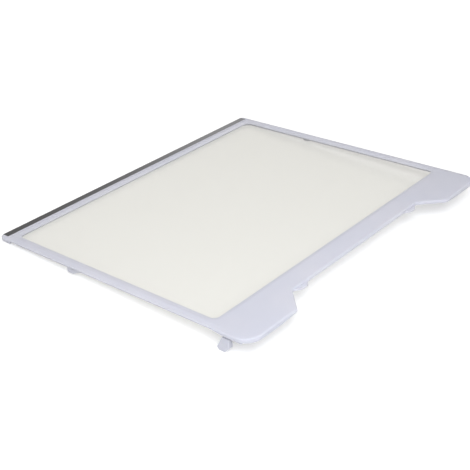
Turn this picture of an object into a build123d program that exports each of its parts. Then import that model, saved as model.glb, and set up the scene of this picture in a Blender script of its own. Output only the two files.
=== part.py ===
from build123d import *
import os

# Framed glass shelf for a refrigerator compartment, in millimetres.
# X runs across the compartment, +Y from the door to the back wall, +Z up.
# The origin is under the middle of the shelf, level with the feet of the rear hooks.

# Plan of the frame
shelf_width = 470.0
side_rail_width = 14.0
opening_depth = 324.0
opening_corner_radius = 8.0
front_lip_depth = 10.8
rear_rail_depth = 30.5
front_corner_radius = 7.0

# Rear ears and the recess between them
ear_reach = 28.0
ear_tip_width = 79.5
ear_slant_run = 28.0
ear_corner_radius = 20.0
ear_tip_radius = 3.0
recess_corner_radius = 5.0

# Walls of the frame
lip_thickness = 2.0
under_lip_thickness = 1.8
under_lip_setback = 4.0
web_thickness = 2.7
skin_thickness = 2.0
skirt_thickness = 2.0
skirt_depth = 4.0
side_skirt_depth = 2.8
ear_skirt_depth = 5.4
ear_skirt_lead = 22.0
runner_step = 0.5
edge_radius = 2.4
lip_edge_radius = 0.6

# Gentle slopes: outwards along each side rail, and inwards round the opening
side_slope_width = 6.0
side_slope_drop = 1.0
lip_slope_width = 5.0
lip_slope_drop = 0.8

# Glass pane and its groove
glass_thickness = 4.0
glass_overlap = 6.0
glass_edge_gap = 0.3
glass_face_gap = 0.1
glass_edge_radius = 0.6

# Front trim and the tongue that it clips over
trim_depth = 11.7
trim_height = 7.5
trim_wall = 1.2
trim_nose_radius = 2.8
trim_lip_height = 0.8
trim_lip_length = 1.6
trim_clearance = 0.1
end_block_width = 5.0
end_block_overlap = 7.0
end_block_edge_radius = 2.4

# Shallow drip groove between the front lip and the trim
drip_groove_width = 2.4
drip_groove_depth = 0.6
drip_groove_setback = 2.2

# Ribs under the rear rail and the ears
rib_thickness = 1.6
rib_pitch = 38.0

# Large rear hooks
rear_hook_drop = 26.5
rear_hook_inset = 1.5
rear_hook_thickness = 6.0
rear_hook_neck_thickness = 2.5
rear_hook_slot = 3.6
rear_hook_setback = 30.0
rear_hook_root_length = 9.5
rear_hook_root_run = 14.0
rear_hook_root_foot = 1.5
rear_hook_rake = 7.5
rear_hook_heel_height = 6.5
rear_hook_toe_height = 3.5
rear_hook_toe_length = 3.0
rear_hook_sole_length = 7.5
rear_hook_radius = 1.6
gusset_thickness = 2.4
gusset_reach = 9.0

# Small front hooks
front_hook_drop = 11.0
front_hook_inset = 1.5
front_hook_thickness = 6.0
front_hook_slot = 1.8
front_hook_setback = 125.0
front_hook_length = 24.0
front_hook_sole_length = 9.5
front_hook_radius = 1.8

# Flat tabs that stick out of the recess edge
tab_width = 25.0
tab_tip_width = 10.0
tab_reach = 5.5
tab_thickness = 2.0
tab_radius = 3.0
tab_end_gap = 3.0

# Margin by which cutting shapes run past the faces that they cut
beyond = 5.0

# Distance under which two places count as the same
touch = 0.001

# Levels worked out from the heights above
top = rear_hook_drop
groove_top = top - lip_thickness
glass_top = groove_top - glass_face_gap
glass_bottom = glass_top - glass_thickness
groove_bottom = glass_bottom - glass_face_gap
runner_bottom = groove_bottom - under_lip_thickness
under_lip_bottom = runner_bottom + runner_step
lip_edge_level = top - lip_slope_drop
skin_bottom = top - skin_thickness
skirt_bottom = top - skirt_depth
side_skirt_bottom = top - side_skirt_depth
ear_skirt_bottom = top - ear_skirt_depth
trim_bottom = top - trim_height

# Places along X worked out from the plan
half_width = shelf_width / 2
opening_half = half_width - side_rail_width
runner_inner = opening_half + under_lip_setback
recess_half = half_width - ear_tip_width - ear_slant_run
trim_bay_half = half_width - end_block_width

# Places along Y, with the whole depth centred on the origin
shelf_depth = trim_depth + front_lip_depth + opening_depth + rear_rail_depth + ear_reach
front = -shelf_depth / 2
trim_back = front + trim_depth
opening_front = trim_back + front_lip_depth
opening_back = opening_front + opening_depth
recess = opening_back + rear_rail_depth
back = recess + ear_reach
opening_middle = (opening_front + opening_back) / 2

# Distances outwards from the opening
glass_reach = glass_overlap
groove_reach = glass_reach + glass_edge_gap
core_reach = groove_reach + web_thickness


def prism(sketch, low, high):
    """Extrude a sketch of the XY plane between two levels."""
    return extrude(Pos(0, 0, low) * sketch, high - low)


def block(x_range, y_range, z_range):
    """Box between two values on each axis."""
    corner = Pos(x_range[0], y_range[0], z_range[0])
    size = [high - low for low, high in (x_range, y_range, z_range)]
    return corner * Box(*size, align=(Align.MIN, Align.MIN, Align.MIN))


def rectangle(first_range, second_range):
    """Rectangle of a sketch between two values on each of its axes."""
    first_low, first_high = first_range
    second_low, second_high = second_range
    corner = Pos((first_low + first_high) / 2, (second_low + second_high) / 2)
    return corner * Rectangle(first_high - first_low, second_high - second_low)


def side_plate(points, x_low, x_high, radius=0.0, rounded=()):
    """Plate across X with an outline of (y, z) points, some of them rounded."""
    sketch = make_face(Polyline(points, close=True))
    if rounded:
        sketch = fillet(vertices_at(sketch, rounded), radius)
    return extrude(Plane.YZ.offset(x_low) * sketch, x_high - x_low)


def vertices_at(sketch, points):
    """Vertices of a sketch that lie at the given points."""
    return [
        vertex
        for vertex in sketch.vertices()
        if any((Vector(*point) - Vector(vertex.X, vertex.Y)).length < touch for point in points)
    ]


def both_sides(shape):
    """A shape of the +X side together with its mirror image."""
    return shape + mirror(shape, about=Plane.YZ)


def rail_ring(reach):
    """Rounded rectangle that lies the given distance outside the glass opening."""
    width = 2 * (opening_half + reach)
    depth = opening_depth + 2 * reach
    return Pos(0, opening_middle) * RectangleRounded(width, depth, opening_corner_radius + reach)


def plan_outline():
    """Outer edge of the frame: square front, two rear ears and the recess between them."""
    ear_tip = half_width - ear_tip_width
    right = [(half_width, front), (half_width, back), (ear_tip, back), (recess_half, recess)]
    left = [(-x, y) for x, y in reversed(right)]
    outline = make_face(Polyline(right + left, close=True))
    radii = [front_corner_radius, ear_corner_radius, ear_tip_radius, recess_corner_radius]
    for (x, y), radius in zip(right, radii):
        outline = fillet(vertices_at(outline, [(x, y), (-x, y)]), radius)
    return outline


def rounded_plate(outline, low, radius):
    """Plate of an outline from a level up to the top, with a rounded top edge."""
    plate = prism(outline, low, top)
    return fillet(plate.edges().group_by(Axis.Z)[-1], radius)


def make_side_notch():
    """What is cut away below the shallow skirt of each side rail, up to the ear's deeper skirt."""
    points = [
        (front - beyond, side_skirt_bottom),
        (opening_back, side_skirt_bottom),
        (opening_back + ear_skirt_lead, ear_skirt_bottom),
        (front - beyond, ear_skirt_bottom),
    ]
    return both_sides(side_plate(points, opening_half + core_reach, half_width + beyond))


def make_ear_skirt(outline, inner):
    """Deeper skirt round each ear's outer corner, with a slope at both ends of it."""
    wall = prism(outline - inner, ear_skirt_bottom, skin_bottom)
    side_end = opening_back + ear_skirt_lead
    side_slope = [
        (opening_back, skin_bottom),
        (opening_back, side_skirt_bottom),
        (side_end, ear_skirt_bottom),
        (back + beyond, ear_skirt_bottom),
        (back + beyond, skin_bottom),
    ]
    tip = half_width - ear_tip_width + ear_tip_radius
    rear_slope = [
        (tip, skin_bottom),
        (tip, skirt_bottom),
        (tip + ear_skirt_lead, ear_skirt_bottom),
        (half_width + beyond, ear_skirt_bottom),
        (half_width + beyond, skin_bottom),
    ]
    from_side = side_plate(side_slope, 0, half_width + beyond)
    from_rear = extrude(Plane.XZ * make_face(Polyline(rear_slope, close=True)), back + beyond, both=True)
    return both_sides(wall & from_side & from_rear)


def make_ribs(inner):
    """Ribs under the rear rail and ears, trimmed to the space inside the skirt."""
    core_back = opening_back + core_reach
    count = int((half_width - skirt_thickness) // rib_pitch)
    ribs = block((-half_width, half_width), (recess - rib_thickness, recess), (skirt_bottom, skin_bottom))
    for index in range(-count, count + 1):
        middle = index * rib_pitch
        ribs += block(
            (middle - rib_thickness / 2, middle + rib_thickness / 2),
            (core_back - web_thickness / 2, back),
            (skirt_bottom, skin_bottom),
        )
    return ribs & prism(inner, skirt_bottom, skin_bottom)


def make_end_blocks(outline):
    """Deeper rounded ends of the front rail, which close off the trim."""
    rear = trim_back + end_block_overlap
    corner_area = rectangle((trim_bay_half, half_width + beyond), (front - beyond, rear))
    end_block = prism(outline & corner_area, trim_bottom, top)
    level_edges = end_block.edges().group_by(Axis.Z)
    bottom_edges = [edge for edge in level_edges[0] if edge.center().X > trim_bay_half + touch]
    end_block = fillet(bottom_edges, end_block_edge_radius)
    outer_edges = [
        edge
        for edge in end_block.edges().group_by(Axis.Z)[-1]
        if edge.center().X > trim_bay_half + touch and edge.center().Y < rear - touch
    ]
    return both_sides(fillet(outer_edges, edge_radius))


def make_tongue():
    """Tongue of the front rail that the trim clips over, with a neck behind its head."""
    fit = trim_wall + trim_clearance
    neck_fit = fit + trim_lip_height
    head_back = trim_back - trim_lip_length - trim_clearance
    nose = [(front + fit, trim_bottom + fit), (front + fit, top - fit)]
    head_section = [*nose, (head_back, top - fit), (head_back, trim_bottom + fit)]
    head = side_plate(head_section, -trim_bay_half, trim_bay_half, trim_nose_radius - fit, nose)
    neck = block(
        (-trim_bay_half, trim_bay_half),
        (head_back - trim_wall, trim_back + web_thickness),
        (trim_bottom + neck_fit, top - neck_fit),
    )
    return head + neck


def make_side_slope():
    """What is cut away above the gentle slope along each side rail."""
    inner = half_width - side_slope_width
    outer = half_width + beyond
    outer_level = top - side_slope_drop * (outer - inner) / side_slope_width
    section = make_face(
        Polyline((inner, top), (outer, outer_level), (outer, top + beyond), (inner, top + beyond), close=True)
    )
    return both_sides(extrude(Plane.XZ * section, back + beyond, both=True))


def make_lip_slope():
    """What is cut away above the gentle slope from the rails down to the opening."""
    low = Pos(0, 0, lip_edge_level) * rail_ring(0)
    high = Pos(0, 0, top + lip_slope_drop) * rail_ring(2 * lip_slope_width)
    return loft([low, high])


def make_rear_hook():
    """Large rear hook: a plate that leans forwards and stands off below the skirt."""
    heel = back - rear_hook_setback
    root_front = heel - rear_hook_root_length
    toe_tip = root_front - rear_hook_rake
    sole_front = toe_tip + rear_hook_toe_length
    outer = half_width - rear_hook_inset
    inner = outer - rear_hook_thickness
    neck_side = inner + rear_hook_neck_thickness
    shoulder = ear_skirt_bottom - rear_hook_slot
    outline = [
        (heel, shoulder),
        (heel, rear_hook_heel_height),
        (sole_front + rear_hook_sole_length, 0),
        (sole_front, 0),
        (toe_tip, rear_hook_toe_height),
        (root_front, shoulder),
    ]
    plate = side_plate(outline, inner, outer, rear_hook_radius, outline[1:5])
    neck = block((inner, neck_side), (root_front, heel), (shoulder, skin_bottom))
    root_levels = (shoulder - rear_hook_root_foot, skin_bottom)
    root = block((inner, neck_side), (heel - rear_hook_neck_thickness, heel + rear_hook_root_run), root_levels)
    gusset_middle = (root_front + heel) / 2
    gusset_face = make_face(
        Polyline(
            (inner - gusset_reach, skin_bottom),
            (neck_side, skin_bottom),
            (neck_side, rear_hook_heel_height),
            (inner, rear_hook_heel_height),
            close=True,
        )
    )
    gusset = extrude(Plane.XZ.offset(-gusset_middle) * gusset_face, gusset_thickness / 2, both=True)
    return both_sides(plate + neck + root + gusset)


def make_front_hook():
    """Small front hook below the skirt: a steep stop at its front and a long slope behind it."""
    foot = front + front_hook_setback
    sole = top - front_hook_drop
    shoulder = side_skirt_bottom - front_hook_slot
    outer = half_width - front_hook_inset
    outline = [
        (foot, shoulder),
        (foot, sole),
        (foot + front_hook_sole_length, sole),
        (foot + front_hook_length, shoulder),
    ]
    plate = side_plate(outline, outer - front_hook_thickness, outer, front_hook_radius, outline[1:3])
    return both_sides(plate)


def make_tab():
    """Flat tab that sticks out of the recess edge beside each ear, level with the foot of the skirt."""
    outer = recess_half - tab_end_gap
    inner = outer - tab_width
    taper = (tab_width - tab_tip_width) / 2
    tip = recess + tab_reach
    root = recess - skirt_thickness
    tips = [(outer - taper, tip), (inner + taper, tip)]
    sketch = make_face(
        Polyline((inner, root), (outer, root), (outer, recess), *tips, (inner, recess), close=True)
    )
    sketch = fillet(vertices_at(sketch, tips), tab_radius)
    return both_sides(prism(sketch, skirt_bottom, skirt_bottom + tab_thickness))


def make_frame():
    """The whole moulding round the glass."""
    outline = plan_outline()
    inner = offset(outline, -skirt_thickness, kind=Kind.INTERSECTION)

    # Skin and skirt
    frame = rounded_plate(outline, skirt_bottom, edge_radius)
    frame -= prism(inner, skirt_bottom - beyond, skin_bottom)
    frame -= make_side_notch()
    frame += make_ear_skirt(outline, inner)
    frame += make_ribs(inner)

    # Core that holds the glass, with a front wall that reaches the trim
    core = prism(rail_ring(core_reach), runner_bottom, skin_bottom)
    core += block(
        (-trim_bay_half, trim_bay_half),
        (trim_back, opening_front),
        (under_lip_bottom, skin_bottom),
    )
    for y_range in ((trim_back - beyond, opening_front), (opening_back, opening_back + core_reach + beyond)):
        core -= block((-runner_inner, runner_inner), y_range, (runner_bottom - beyond, under_lip_bottom))
    frame += core

    # Front ends, with a bay for the trim between them
    frame += make_end_blocks(outline)
    frame -= block(
        (-trim_bay_half, trim_bay_half),
        (front - beyond, trim_back),
        (trim_bottom - beyond, top + beyond),
    )
    frame += make_tongue()
    groove_back = trim_back + drip_groove_setback + drip_groove_width
    frame -= block(
        (-trim_bay_half, trim_bay_half),
        (trim_back + drip_groove_setback, groove_back),
        (top - drip_groove_depth, top + beyond),
    )
    frame -= make_side_slope()

    # Hooks and tabs
    frame += make_rear_hook()
    frame += make_front_hook()
    frame += make_tab()

    # Opening and glass groove
    frame -= prism(rail_ring(0), groove_bottom, top + beyond)
    frame -= prism(rail_ring(under_lip_setback), runner_bottom - beyond, groove_bottom)
    frame -= prism(rail_ring(groove_reach), groove_bottom, groove_top)
    frame -= make_lip_slope()
    lip_edges = [
        edge
        for edge in frame.edges().filter_by_position(Axis.Z, lip_edge_level - touch, lip_edge_level + touch)
        if abs(edge.center().X) < opening_half + touch
        and opening_front - touch < edge.center().Y < opening_back + touch
    ]
    return fillet(lip_edges, lip_edge_radius)


def make_glass():
    """Flat pane with rounded corners and ground edges."""
    pane = prism(rail_ring(glass_reach), glass_bottom, glass_top)
    edges = pane.edges().group_by(Axis.Z)
    return fillet(edges[0] + edges[-1], glass_edge_radius)


def make_trim():
    """Channel with a rounded nose, open to the rear, with a lip on each edge."""
    outer = rectangle((front, trim_back), (trim_bottom, top))
    outer = fillet(vertices_at(outer, [(front, trim_bottom), (front, top)]), trim_nose_radius)
    cavity_front = front + trim_wall
    cavity_levels = (trim_bottom + trim_wall, top - trim_wall)
    cavity = rectangle((cavity_front, trim_back - trim_lip_length), cavity_levels)
    cavity_nose = vertices_at(cavity, [(cavity_front, level) for level in cavity_levels])
    cavity = fillet(cavity_nose, trim_nose_radius - trim_wall)
    mouth_edge = trim_wall + trim_lip_height
    mouth_front = trim_back - trim_lip_length - trim_wall
    mouth = rectangle((mouth_front, trim_back + beyond), (trim_bottom + mouth_edge, top - mouth_edge))
    half_length = trim_bay_half - trim_clearance
    section = Plane.YZ.offset(-half_length) * (outer - cavity - mouth)
    return extrude(section, 2 * half_length)


parts = {
    "frame": make_frame(),
    "glass_panel": make_glass(),
    "front_trim": make_trim(),
}

os.makedirs("parts", exist_ok=True)
for name, shape in parts.items():
    export_step(shape, f"parts/{name}.step")
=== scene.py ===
import math

import bpy
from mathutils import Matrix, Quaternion, Vector

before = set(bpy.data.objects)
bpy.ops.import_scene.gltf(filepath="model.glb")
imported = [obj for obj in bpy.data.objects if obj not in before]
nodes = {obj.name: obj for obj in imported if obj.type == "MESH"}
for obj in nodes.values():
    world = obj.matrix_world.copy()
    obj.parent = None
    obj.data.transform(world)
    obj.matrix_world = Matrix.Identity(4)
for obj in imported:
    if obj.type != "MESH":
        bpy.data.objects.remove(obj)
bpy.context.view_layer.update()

# Looks of a framed glass refrigerator shelf, in metres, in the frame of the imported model.
# +X runs across the shelf, +Y from its front trim to its rear ears, +Z up.

# Camera, from the photo's perspective
camera_place = Vector((0.8487, 0.7475, 0.5905))
camera_aim = Vector((0.0679, 0.0412, 0.0265))
camera_roll = math.radians(-3.72)
camera_lens_mm = 75.68

# Light levels
world_level = 0.45
world_colour = (1.02, 1.0, 0.975, 1.0)
floor_lift_near = 0.46
floor_lift_far = 0.76
floor_lift_reach = (0.25, 0.85)

# Soft lamps: place, target, size, power, colour, the angle that their light fans out to,
# and whether gloss and glass mirror them
key_lamp = ((0.80, 0.87, 1.04), (0.02, 0.12, 0.0), 0.85, 7.2, (0.97, 1.0, 1.04), math.radians(110), False)
trim_lamp = ((-1.22, -0.68, 1.12), (-0.06, -0.197, 0.0), 0.3, 0.14, (1.0, 1.0, 1.0), math.radians(32), True)

# Floor
floor_half = 10.0
floor_colour = (0.72, 0.72, 0.71, 1.0)

# Moulded plastic of the frame
plastic_cool = (0.615, 0.622, 0.702, 1.0)
plastic_warm = (0.652, 0.650, 0.718, 1.0)
plastic_glow = 0.6
plastic_glow_radius = (0.004, 0.004, 0.004)
plastic_patch = 14.0
plastic_roughness = (0.46, 0.58)
plastic_smudge = 70.0
plastic_smudge_detail = 4.0
plastic_grain = 2600.0
plastic_grain_depth = 0.00003

# Toughened glass
glass_tint = (0.90, 0.89, 0.865, 1.0)
glass_shade = (0.88, 0.88, 0.86, 1.0)
glass_ior = 1.5
glass_roughness = (0.0, 0.03)
glass_smudge = 24.0
glass_smudge_detail = 5.0

# Brushed metal of the front trim
# The dark base tones of the trim are a painted dark reflection, standing in for the dark surroundings the
# trim mirrors
metal_dark = (0.190, 0.190, 0.198, 1.0)
metal_light = (0.230, 0.230, 0.238, 1.0)
metal_roughness = (0.38, 0.48)
metal_brush = 1.0
metal_brush_detail = 3.0
metal_brush_stretch = (6.0, 1800.0, 1800.0)
metal_brush_depth = 0.00001
metal_anisotropy = 0.65

# Range that most of a noise value lies in
noise_middle = (0.3, 0.7)

# Digits to which two levels in metres count as the same
level_digits = 5


def add_node(tree, kind, inputs=None, **settings):
    """New shader node, with its settings and its unlinked inputs filled in."""
    made = tree.nodes.new(kind)
    for name, value in settings.items():
        setattr(made, name, value)
    for name, value in (inputs or {}).items():
        made.inputs[name].default_value = value
    return made


def new_material(name):
    """Material with an empty node tree and its output."""
    material = bpy.data.materials.new(name)
    material.use_nodes = True
    tree = material.node_tree
    tree.nodes.clear()
    output = add_node(tree, "ShaderNodeOutputMaterial")
    return material, tree, output


def noise(tree, scale, detail=2.0, stretch=(1.0, 1.0, 1.0)):
    """Noise in the object's own metres, finer along the axes that are stretched."""
    place = add_node(tree, "ShaderNodeTexCoord")
    mapping = add_node(tree, "ShaderNodeMapping", {"Scale": stretch})
    texture = add_node(tree, "ShaderNodeTexNoise", {"Scale": scale, "Detail": detail})
    tree.links.new(place.outputs["Object"], mapping.inputs["Vector"])
    tree.links.new(mapping.outputs["Vector"], texture.inputs["Vector"])
    return texture.outputs["Fac"]


def spread(tree, value, low, high):
    """The middle range of a noise value, spread between two numbers."""
    made = add_node(
        tree,
        "ShaderNodeMapRange",
        {"From Min": noise_middle[0], "From Max": noise_middle[1], "To Min": low, "To Max": high},
    )
    tree.links.new(value, made.inputs["Value"])
    return made.outputs["Result"]


def blend_colours(tree, value, first, second):
    """Colour between two others, by a noise value."""
    made = add_node(tree, "ShaderNodeMix", data_type="RGBA")
    colours = [socket for socket in made.inputs if socket.type == "RGBA"]
    colours[0].default_value = first
    colours[1].default_value = second
    tree.links.new(spread(tree, value, 0.0, 1.0), made.inputs["Factor"])
    return next(socket for socket in made.outputs if socket.type == "RGBA")


def bump(tree, height, distance):
    """Small relief from a height value."""
    made = add_node(tree, "ShaderNodeBump", {"Strength": 1.0, "Distance": distance})
    tree.links.new(height, made.inputs["Height"])
    return made.outputs["Normal"]


def plastic_material():
    """Satin moulding with a fine grain, faint patches of tone and faint smudges."""
    material, tree, output = new_material("frame_plastic")
    shader = add_node(
        tree,
        "ShaderNodeBsdfPrincipled",
        {
            "Subsurface Weight": plastic_glow,
            "Subsurface Radius": plastic_glow_radius,
            "Subsurface Scale": 1.0,
        },
    )
    patches = blend_colours(tree, noise(tree, plastic_patch), plastic_cool, plastic_warm)
    smudges = spread(tree, noise(tree, plastic_smudge, plastic_smudge_detail), *plastic_roughness)
    grain = bump(tree, noise(tree, plastic_grain), plastic_grain_depth)
    tree.links.new(patches, shader.inputs["Base Color"])
    tree.links.new(smudges, shader.inputs["Roughness"])
    tree.links.new(grain, shader.inputs["Normal"])
    tree.links.new(shader.outputs["BSDF"], output.inputs["Surface"])
    return material


def glass_material():
    """Clear glass with faint smudges, which lets the lamps light what is under it."""
    material, tree, output = new_material("clear_glass")
    shader = add_node(
        tree,
        "ShaderNodeBsdfPrincipled",
        {"Base Color": glass_tint, "IOR": glass_ior, "Transmission Weight": 1.0},
    )
    smudges = spread(tree, noise(tree, glass_smudge, glass_smudge_detail), *glass_roughness)
    tree.links.new(smudges, shader.inputs["Roughness"])
    clear = add_node(tree, "ShaderNodeBsdfTransparent", {"Color": glass_shade})
    path = add_node(tree, "ShaderNodeLightPath")
    lit_through = add_node(tree, "ShaderNodeMath", operation="MAXIMUM")
    tree.links.new(path.outputs["Is Shadow Ray"], lit_through.inputs[0])
    tree.links.new(path.outputs["Is Diffuse Ray"], lit_through.inputs[1])
    mix = add_node(tree, "ShaderNodeMixShader")
    tree.links.new(lit_through.outputs["Value"], mix.inputs["Fac"])
    tree.links.new(shader.outputs["BSDF"], mix.inputs[1])
    tree.links.new(clear.outputs["BSDF"], mix.inputs[2])
    tree.links.new(mix.outputs["Shader"], output.inputs["Surface"])
    return material


def metal_material():
    """Metal brushed along the trim, whose dark base colour is a painted dark reflection that stands in for
    the dark surroundings it mirrors.
    """
    material, tree, output = new_material("trim_metal")
    shader = add_node(
        tree,
        "ShaderNodeBsdfPrincipled",
        {"Metallic": 1.0, "Anisotropic": metal_anisotropy},
    )
    around = add_node(tree, "ShaderNodeTangent", direction_type="RADIAL", axis="X")
    strokes = noise(tree, metal_brush, metal_brush_detail, metal_brush_stretch)
    tones = blend_colours(tree, strokes, metal_dark, metal_light)
    tree.links.new(tones, shader.inputs["Base Color"])
    tree.links.new(spread(tree, strokes, *metal_roughness), shader.inputs["Roughness"])
    tree.links.new(bump(tree, strokes, metal_brush_depth), shader.inputs["Normal"])
    tree.links.new(around.outputs["Tangent"], shader.inputs["Tangent"])
    tree.links.new(shader.outputs["BSDF"], output.inputs["Surface"])
    return material


def seen_directly(tree):
    """One for rays from the camera, from gloss and through glass, and zero for the rest."""
    path = add_node(tree, "ShaderNodeLightPath")
    total = path.outputs["Is Camera Ray"]
    for name in ("Is Glossy Ray", "Is Transmission Ray"):
        adder = add_node(tree, "ShaderNodeMath", operation="ADD", use_clamp=True)
        tree.links.new(total, adder.inputs[0])
        tree.links.new(path.outputs[name], adder.inputs[1])
        total = adder.outputs["Value"]
    return total


def floor_material():
    """Pale floor that looks white away from the shelf and keeps its shadow near it."""
    material, tree, output = new_material("pale_floor")
    matt = add_node(tree, "ShaderNodeBsdfDiffuse", {"Color": floor_colour})
    glow = add_node(tree, "ShaderNodeEmission")
    place = add_node(tree, "ShaderNodeTexCoord")
    distance = add_node(tree, "ShaderNodeVectorMath", operation="LENGTH")
    lift = add_node(
        tree,
        "ShaderNodeMapRange",
        {
            "From Min": floor_lift_reach[0],
            "From Max": floor_lift_reach[1],
            "To Min": floor_lift_near,
            "To Max": floor_lift_far,
        },
        interpolation_type="SMOOTHSTEP",
    )
    seen_lift = add_node(tree, "ShaderNodeMath", operation="MULTIPLY")
    total = add_node(tree, "ShaderNodeAddShader")
    tree.links.new(place.outputs["Object"], distance.inputs[0])
    tree.links.new(distance.outputs["Value"], lift.inputs["Value"])
    tree.links.new(lift.outputs["Result"], seen_lift.inputs[0])
    tree.links.new(seen_directly(tree), seen_lift.inputs[1])
    tree.links.new(seen_lift.outputs["Value"], glow.inputs["Strength"])
    tree.links.new(matt.outputs["BSDF"], total.inputs[0])
    tree.links.new(glow.outputs["Emission"], total.inputs[1])
    tree.links.new(total.outputs["Shader"], output.inputs["Surface"])
    return material


def dress_nodes():
    """Give each node of the model its material."""
    finishes = {
        "frame": plastic_material(),
        "glass_panel": glass_material(),
        "front_trim": metal_material(),
    }
    for name, material in finishes.items():
        for slot in nodes[name].material_slots:
            slot.material = material


def make_floor():
    """Plane under the two lines that the shelf rests on: the trim's foot and the rear hooks' soles."""
    trim_points = [v.co for v in nodes["front_trim"].data.vertices]
    trim_foot = min(trim_points, key=lambda p: (round(p.z, level_digits), p.y))
    rear = [v.co for v in nodes["frame"].data.vertices if v.co.y > 0]
    slope = min((p.z - trim_foot.z) / (p.y - trim_foot.y) for p in rear)
    corners = [
        (x, y, trim_foot.z + slope * (y - trim_foot.y))
        for x, y in (
            (-floor_half, -floor_half),
            (floor_half, -floor_half),
            (floor_half, floor_half),
            (-floor_half, floor_half),
        )
    ]
    mesh = bpy.data.meshes.new("floor")
    mesh.from_pydata(corners, [], [(0, 1, 2, 3)])
    mesh.materials.append(floor_material())
    floor = bpy.data.objects.new("floor", mesh)
    bpy.context.scene.collection.objects.link(floor)


def make_world():
    """Plain soft light from all round."""
    world = bpy.data.worlds.new("studio")
    bpy.context.scene.world = world
    world.use_nodes = True
    tree = world.node_tree
    tree.nodes.clear()
    output = add_node(tree, "ShaderNodeOutputWorld")
    light = add_node(tree, "ShaderNodeBackground", {"Color": world_colour, "Strength": world_level})
    tree.links.new(light.outputs["Background"], output.inputs["Surface"])


def aim(thing, place, target):
    """Put a lamp or camera at a place, looking at a target."""
    thing.location = place
    thing.rotation_mode = "QUATERNION"
    thing.rotation_quaternion = (target - place).to_track_quat("-Z", "Y")


def make_lamp(name, place, target, size, power, colour, fan, mirrored):
    """Square soft lamp."""
    data = bpy.data.lights.new(name, "AREA")
    data.shape = "SQUARE"
    data.size = size
    data.energy = power
    data.color = colour
    data.spread = fan
    lamp = bpy.data.objects.new(name, data)
    lamp.visible_glossy = mirrored
    lamp.visible_transmission = mirrored
    bpy.context.scene.collection.objects.link(lamp)
    aim(lamp, Vector(place), Vector(target))


def make_camera():
    """Camera at the photo's place, turned about its own axis by the photo's roll."""
    data = bpy.data.cameras.new("photo_camera")
    data.lens = camera_lens_mm
    camera = bpy.data.objects.new("photo_camera", data)
    bpy.context.scene.collection.objects.link(camera)
    aim(camera, camera_place, camera_aim)
    camera.rotation_quaternion @= Quaternion((0.0, 0.0, 1.0), camera_roll)
    bpy.context.scene.camera = camera


dress_nodes()
make_floor()
make_world()
make_lamp("key_lamp", *key_lamp)
make_lamp("trim_lamp", *trim_lamp)
make_camera()
bpy.context.scene.view_settings.view_transform = "Standard"
